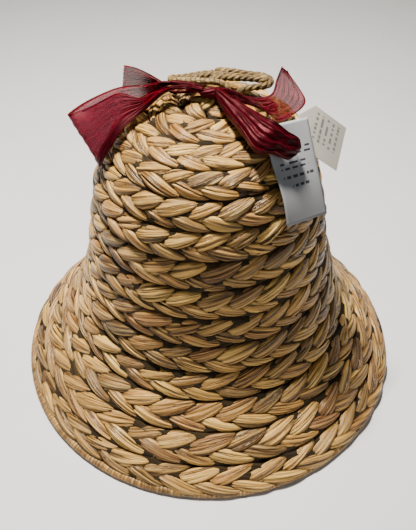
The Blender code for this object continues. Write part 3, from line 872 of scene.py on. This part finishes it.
bow = {
    "ribbonWidth": 0.038,
    "layer": 0.00022,
    "selvage": 0.05,
    "loopTop": (
        (-27, 0.005, 0.0068), (-83, 0.022, 0.0118), (-89, 0.041, 0.0085),
        (-96, 0.052, 0.0135), (-95, 0.067, 0.0184), (-92, 0.074, 0.0265),
        (-93.2, 0.0757, 0.0280), (-96, 0.069, 0.0235), (-99, 0.060, 0.0180),
        (-101, 0.051, 0.0150), (-97, 0.037, 0.0128), (-89, 0.022, 0.0140), (-37, 0.003, 0.0066),
    ),
    "loopBottom": (
        (-25, 0.006, 0.0036), (-78, 0.022, 0.0098), (-77, 0.039, 0.0052),
        (-69, 0.057, 0.0048), (-67, 0.069, 0.0044), (-67.6, 0.0818, 0.0040),
        (-69.8, 0.0822, 0.0036), (-74, 0.070, 0.0030), (-78, 0.058, 0.0028),
        (-84, 0.048, 0.0030), (-88, 0.040, 0.0034), (-88, 0.022, 0.0110), (-36, 0.005, 0.0036),
    ),
    "leftTailTop": (
        (-41, 0.004, 0.0052), (-93, 0.017, 0.0046), (-100, 0.022, 0.0056),
        (-105, 0.028, 0.0118), (-110, 0.041, 0.0199), (-109, 0.048, 0.0246),
    ),
    "leftTailBottom": (
        (-41, 0.004, 0.0036), (-93, 0.018, 0.0030), (-99, 0.023, 0.0036),
        (-104, 0.028, 0.0080), (-109, 0.044, 0.0098), (-110, 0.056, 0.0112),
    ),
    "lobeTop": (
        (34, 0.005, 0.0060), (51, 0.016, 0.0060), (52, 0.026, 0.0076), (46, 0.041, 0.0134),
        (46, 0.049, 0.0168), (50, 0.054, 0.0144), (55, 0.059, 0.0126), (54, 0.063, 0.0116),
    ),
    "lobeBottom": (
        (21, 0.008, 0.0044), (22, 0.017, 0.0056), (25, 0.029, 0.0060), (26, 0.046, 0.0086),
        (27, 0.055, 0.0106), (36, 0.059, 0.0106), (43, 0.064, 0.0090), (49, 0.065, 0.0096),
    ),
    "rightTailTop": (
        (45, 0.005, 0.0058), (70, 0.0125, 0.0075), (72, 0.024, 0.0078), (83, 0.036, 0.0110),
        (96, 0.038, 0.0180), (103, 0.040, 0.0242),
    ),
    "rightTailBottom": (
        (42, 0.006, 0.0040), (64, 0.022, 0.0040), (66, 0.036, 0.0060), (60, 0.047, 0.0080),
        (69, 0.051, 0.0125), (82, 0.054, 0.0150), (88, 0.053, 0.0165), (101, 0.044, 0.0215),
    ),
    "knotPoint": (20, 0.0062, 0.0040),
    "knotSize": (0.016, 0.0062, 0.0062),
    "seed": 8,
}


def organzaMaterial():
    # cloth holds how gathered the ribbon is, where its selvages are and the shade of its folds
    material, shader = newMaterial("burgundyOrganza", 0.38, Specular_IOR_Level=0.25,
                                   Specular_Tint=(1.0, 0.22, 0.24, 1.0), Subsurface_Weight=0.7,
                                   Subsurface_Radius=(1.0, 0.5, 0.5), Subsurface_Scale=0.0025)
    gathered, selvage, shade = partsOf(material, "cloth")
    uv = uvSpace(material)
    spread = addNode(material, "ShaderNodeSeparateXYZ", Vector=uv)
    slub, warp = (
        noiseOf(material, stretched(material, spread.outputs["X"], spread.outputs["Y"], times), 1.0, 2.0)
        for times in ((120.0, 2200.0), (2200.0, 120.0))
    )
    moire = addNode(material, "ShaderNodeTexWave", {"bands_direction": "X"}, Vector=uv, Scale=190.0,
                    Distortion=5.0, Detail=1.0, Detail_Scale=0.02).outputs["Fac"]
    weave = mathNode(material, "MULTIPLY", mathNode(material, "SUBTRACT", mathNode(
        material, "ADD", slub, warp), 1.0), 0.35)
    sheer = mathNode(material, "ADD", 0.64, mathNode(material, "ADD", weave, mathNode(
        material, "MULTIPLY", moire, 0.06)))
    thick = mathNode(material, "MAXIMUM", mathNode(material, "MULTIPLY", gathered, 0.97),
                     mathNode(material, "MULTIPLY", selvage, 0.93))
    linkTo(material, mathNode(material, "MAXIMUM", sheer, thick, clamp=True), shader, "Alpha")
    base = mixColor(material, gathered, (0.095, 0.003, 0.012, 1.0), (0.042, 0.001, 0.004, 1.0))
    edged = mixColor(material, selvage, base, (0.034, 0.000, 0.002, 1.0))
    linkTo(material, mixColor(material, shade, edged, (0.012, 0.000, 0.001, 1.0)), shader, "Base Color")
    bump = addNode(material, "ShaderNodeBump", Strength=0.5, Distance=0.0003, Height=mathNode(
        material, "ADD", slub, warp)).outputs["Normal"]
    linkTo(material, bump, shader, "Normal")
    return material


organza = organzaMaterial()


def edgeLine(rail, count, steps=8):
    return evenPoints(smoothPoints([overBell(*point) for point in rail], steps), count)


def makeStrip(name, top, bottom, columns, rows, folds, gatheredNear, crumple=0.0, seed=0):
    # folds: pleats across, how deep they are at the knot, how deep at the far end, and whether it comes back
    rng = np.random.default_rng(bow["seed"] + seed)
    upper = edgeLine(top, columns + 1)
    lower = edgeLine(bottom, columns + 1)
    mesh, column, row = gridSheet(name, columns, rows)
    s = column / columns
    t = row / rows
    flat = upper[column] * (1 - t)[:, None] + lower[column] * t[:, None]
    ahead = unit(np.gradient((upper + lower) / 2, axis=0))
    outward = unit(np.cross(ahead, lower - upper))
    count, nearDepth, farDepth, comesBack = folds
    away = 1 - np.abs(2 * s - 1) if comesBack else s
    depth = farDepth + (nearDepth - farDepth) * (1 - away) ** 1.5
    shift = rng.uniform(0, 6.28, 4)
    wave = np.sin(2 * math.pi * count * t + shift[0] + 1.3 * s)
    wave += 0.45 * np.sin(2 * math.pi * count * 1.9 * t + shift[1] - 2.4 * s)
    ripple = np.sin(9 * s + 5 * t + shift[2]) + 0.6 * np.sin(23 * s - 7 * t + shift[3])
    crinkle = np.sin(61 * s + 13 * np.sin(9 * t + shift[1])) * np.sin(37 * t + 11 * s)
    edgeFade = np.clip(np.minimum(t, 1 - t) * 6, 0, 1)
    out = (depth * wave + crumple * (0.6 * ripple + 0.4 * crinkle)) * edgeFade
    writeCoords(mesh, flat + outward[column] * out[:, None])
    widths = np.linalg.norm(lower - upper, axis=1)
    along = lengthsAlong((upper + lower) / 2)
    setUv(mesh, np.column_stack([along[column], t * bow["ribbonWidth"]]))
    gathered = np.clip(1.25 - widths / bow["ribbonWidth"] * 1.9, 0, 1)[column]
    gathered = np.clip(gathered + gatheredNear * (1 - away) ** 3, 0, 1)
    selvage = (np.minimum(t, 1 - t) < bow["selvage"]).astype(float)
    # painted shade in the hollows of the pleats
    paintedFoldShade = np.clip(-wave * 0.35 * depth / 0.001, 0, 0.6)
    setPointColor(mesh, "cloth", np.column_stack([gathered, selvage, paintedFoldShade]))
    mesh.shade_smooth()
    piece = shownObject(name, mesh, organza)
    return piece, along[-1]


def makeRoll(name, top, bottom, columns, rows, plump, pleats, pleatDepth, tipFade, seed, share=(0.0, 1.0)):
    # a bunched part of the ribbon: a closed form between two edges, with pleats along it
    rng = np.random.default_rng(bow["seed"] + seed)
    upperEdge = edgeLine(top, columns + 1)
    lowerEdge = edgeLine(bottom, columns + 1)
    upper = upperEdge * (1 - share[0]) + lowerEdge * share[0]
    lower = upperEdge * (1 - share[1]) + lowerEdge * share[1]
    mesh, column, row = gridSheet(name, columns, rows)
    s = column / columns
    angle = 2 * math.pi * (row % rows) / rows
    middle = ((upper + lower) / 2)[column]
    half = ((lower - upper) / 2)[column]
    ahead = unit(np.gradient((upper + lower) / 2, axis=0))
    outward = unit(np.cross(ahead, lower - upper))[column]
    shift = rng.uniform(0, 6.28, 3)
    pleatPlace = pleats / 2 * angle + shift[0] + 1.5 * s + 0.5 * np.sin(7 * s + shift[1])
    wave = 1.3 - 2.2 * np.abs(np.sin(pleatPlace))
    wave += 0.5 * np.sin((pleats * 2 + 1) * angle - 5 * s + shift[2])
    wave += (0.25 + 0.9 * s**3) * np.sin(31 * s + 3 * angle + shift[1]) * np.sin(19 * s + 2 * angle)
    closing = np.sqrt(np.clip(1 - ((s - (1 - tipFade)) / tipFade).clip(0, 1) ** 2, 0.01, 1))
    closing *= np.sqrt(np.clip(1 - (1 - s / 0.04).clip(0, 1) ** 2, 0.05, 1))
    sectionOut = plump / 2 * np.sin(angle) * closing + pleatDepth * wave * closing
    sectionAcross = np.cos(angle) * (0.55 + 0.45 * closing) * (1 + 0.05 * wave)
    writeCoords(mesh, middle + half * sectionAcross[:, None] + outward * sectionOut[:, None])
    along = lengthsAlong((upper + lower) / 2)
    setUv(mesh, np.column_stack([along[column], (row % rows) / rows * bow["ribbonWidth"]]))
    # painted shade in the hollows of the pleats
    paintedFoldShade = np.clip(0.25 - wave * 0.55, 0, 0.92)
    setPointColor(mesh, "cloth", np.column_stack([np.ones_like(s), 0.25 * (wave > 0.9), paintedFoldShade]))
    closeSeams(mesh, capped=True)
    return shownObject(name, mesh, organza)


def makeKnot():
    bm = bmesh.new()
    bmesh.ops.create_uvsphere(bm, u_segments=48, v_segments=24, radius=0.5)
    for vert in bm.verts:
        squeeze = 1 + 0.10 * math.sin(9 * math.atan2(vert.co.z, vert.co.y) + 8 * vert.co.x)
        vert.co = Vector((vert.co.x, vert.co.y * squeeze, vert.co.z * squeeze))
    bmesh.ops.scale(bm, vec=bow["knotSize"], verts=bm.verts)
    bmesh.ops.translate(bm, vec=Vector(overBell(*bow["knotPoint"])), verts=bm.verts)
    bm.loops.layers.uv.new("UVMap")
    mesh = meshFrom(bm, "bowKnot")
    count = len(mesh.vertices)
    # an even painted shade over the knot
    setPointColor(mesh, "cloth", np.column_stack([np.ones(count), np.zeros(count), np.full(count, 0.15)]))
    mesh.shade_smooth()
    return shownObject("bowKnot", mesh, organza)


def makeBow():
    strips = [
        makeStrip("bowRibbon", bow["loopTop"], bow["loopBottom"], 220, 48,
                  (6.0, 0.0017, 0.0002, True), 0.6, crumple=0.0004, seed=1),
        makeStrip("bowLeftTail", bow["leftTailTop"], bow["leftTailBottom"], 90, 48,
                  (6.0, 0.0012, 0.0005, False), 0.9, crumple=0.0003, seed=2),
        makeStrip("bowRightTail", bow["rightTailTop"], bow["rightTailBottom"], 110, 48,
                  (6.0, 0.0013, 0.0004, False), 2.2, crumple=0.0004, seed=3),
    ]
    for strip, length in strips:
        area = sum(face.area for face in strip.data.polygons)
        flatShare = area / length / bow["ribbonWidth"]
        print(f"{strip.name}: {length:.3f} m long, share of the flat area {flatShare:.2f}")
    ribbon = joined([strip for strip, _ in strips], "bowRibbon")
    wall = ribbon.modifiers.new("layer", "SOLIDIFY")
    wall.thickness = bow["layer"]
    wall.offset = 0.0
    bunches = [
        makeRoll("bowRightLobe", bow["lobeTop"], bow["lobeBottom"], 160, 96, 0.0048, 7, 0.00075, 0.10, 4),
        makeRoll("bowLoopRoll", bow["loopTop"][:6], bow["loopBottom"][:6], 90, 36,
                 0.0030, 3, 0.0003, 0.25, 5, share=(0.80, 1.02)),
        makeRoll("bowTailFold", bow["rightTailTop"][2:], bow["rightTailBottom"][2:], 60, 20,
                 0.0012, 3, 0.0001, 0.10, 6, share=(-0.01, 0.06)),
        makeKnot(),
    ]
    for piece in (ribbon, *bunches):
        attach(piece, "root")
        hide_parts("ribbon_bow")


makeBow()
print("bow ready")


# The cards

cards = {
    "priceMiddle": (50.7, 0.0736, 0.0036),
    "priceFacing": (37.9, 33.9, -7.9),
    "priceWidth": 0.0317,
    "priceLength": 0.059,
    "priceBend": 0.0016,
    "priceTwist": 0.6,
    "priceGrid": (18, 34),
    "thickness": 0.0005,
    "hangMiddle": (77.9, 0.0705, 0.0109),
    "hangFacing": (47.0, 34.8, 39.8),
}


def cardAxes(facing):
    # right, up and outward directions of a card that faces this way
    roundAngle, rise, roll = (math.radians(value) for value in facing)
    outward = Vector((
        math.sin(roundAngle) * math.cos(rise), -math.cos(roundAngle) * math.cos(rise), math.sin(rise)))
    level = Vector((math.cos(roundAngle), math.sin(roundAngle), 0))
    upward = outward.cross(level)
    right = level * math.cos(roll) + upward * math.sin(roll)
    up = upward * math.cos(roll) - level * math.sin(roll)
    return right, up, outward


def cardMaterial(name, paper, ink, place, bottomShade, blocks):
    # place is where the card's own across and up come from; blocks are printed rows of plain dashes:
    # left, right, bottom, top, number of rows, and dashes to a row
    material, shader = newMaterial(name, 0.5, Specular_IOR_Level=0.4)
    spread = addNode(material, "ShaderNodeSeparateXYZ", Vector=place(material))
    across = spread.outputs["X"]
    upward = spread.outputs["Y"]
    printed = None
    for left, right, bottom, top, rows, dashes in blocks:
        u = mathNode(material, "DIVIDE", mathNode(material, "SUBTRACT", across, left), right - left)
        v = mathNode(material, "DIVIDE", mathNode(material, "SUBTRACT", upward, bottom), top - bottom)
        inside = mathNode(material, "MULTIPLY", mathNode(material, "MULTIPLY", mathNode(
            material, "GREATER_THAN", u, 0.0), mathNode(material, "LESS_THAN", u, 1.0)), mathNode(
            material, "MULTIPLY", mathNode(material, "GREATER_THAN", v, 0.0), mathNode(
                material, "LESS_THAN", v, 1.0)))
        rowPlace = mathNode(material, "MULTIPLY", v, float(rows))
        rowLine = mathNode(material, "LESS_THAN", mathNode(material, "ABSOLUTE", mathNode(
            material, "SUBTRACT", mathNode(material, "FRACT", rowPlace), 0.5)), 0.21)
        dashPlace = stretched(material, u, mathNode(material, "FLOOR", rowPlace), (float(dashes), 7.3))
        dash = mathNode(material, "GREATER_THAN", noiseOf(material, dashPlace, 1.0, 0.0), 0.45)
        block = mathNode(material, "MULTIPLY", inside, mathNode(material, "MULTIPLY", rowLine, dash))
        printed = block if printed is None else mathNode(material, "MAXIMUM", printed, block)
    soil = noiseOf(material, objectSpace(material), 90.0, 4.0)
    darker = tuple(value * 0.88 for value in paper)
    plain = rampOf(material, soil, ((0.35, darker), (0.62, paper)))
    # painted shade: the card darkens towards its bottom
    low = mathNode(material, "ADD", 0.5, mathNode(material, "MULTIPLY", upward, -bottomShade), clamp=True)
    sheet = mixColor(material, low, plain, tuple(value * 0.42 for value in paper) + (1.0,))
    linkTo(material, mixColor(material, printed, sheet, (*ink, 1.0)), shader, "Base Color")
    fibres = noiseOf(material, objectSpace(material), 1400.0, 2.0)
    bump = addNode(
        material, "ShaderNodeBump", Strength=0.25, Distance=0.0002, Height=fibres).outputs["Normal"]
    linkTo(material, bump, shader, "Normal")
    return material


def makePriceTag():
    right, up, outward = (np.array(axis) for axis in cardAxes(cards["priceFacing"]))
    middle = overBell(*cards["priceMiddle"])
    columns, rows = cards["priceGrid"]
    mesh, column, row = gridSheet("priceTag", columns, rows)
    x = column / columns - 0.5
    y = row / rows - 0.5
    bend = cards["priceBend"] * np.sin(2 * math.pi * (y + 0.5)) * (cards["priceTwist"] - x)
    coords = middle + np.outer(x * cards["priceWidth"], right) + np.outer(y * cards["priceLength"], up)
    writeCoords(mesh, coords + np.outer(bend, outward))
    setUv(mesh, np.column_stack([x * cards["priceWidth"], y * cards["priceLength"]]))
    paper = cardMaterial(
        "coatedCard", (0.46, 0.47, 0.49), (0.04, 0.04, 0.05),
        uvSpace, 20.0,
        ((-0.011, 0.012, -0.004, 0.000, 1, 9), (-0.006, 0.009, -0.0095, -0.0055, 1, 7),
         (-0.011, 0.010, 0.0015, 0.0075, 2, 7), (-0.009, 0.013, 0.0095, 0.0155, 2, 6)))
    piece = shownObject("priceTag", mesh, paper)
    mesh.shade_smooth()
    wall = piece.modifiers.new("card", "SOLIDIFY")
    wall.thickness = cards["thickness"]
    wall.offset = 0.0
    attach(piece, "root")
    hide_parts("price_tag")


def paintHangTag():
    right, up, outward = cardAxes(cards["hangFacing"])
    turn = Matrix((right, up, outward)).transposed().to_euler()
    middle = overBell(*cards["hangMiddle"])

    def onCard(material):
        return addNode(
            material, "ShaderNodeMapping", {"vector_type": "TEXTURE"}, Location=tuple(middle),
            Rotation=tuple(turn), Vector=objectSpace(material)).outputs[0]

    paper = cardMaterial("creamCard", (0.74, 0.70, 0.60), (0.20, 0.19, 0.17), onCard, 12.0,
                         ((-0.006, 0.012, -0.014, 0.010, 5, 10),))
    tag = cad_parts["hang_tag"]
    for place in tag.material_slots:
        place.material = paper


makePriceTag()
paintHangTag()
print("cards ready")
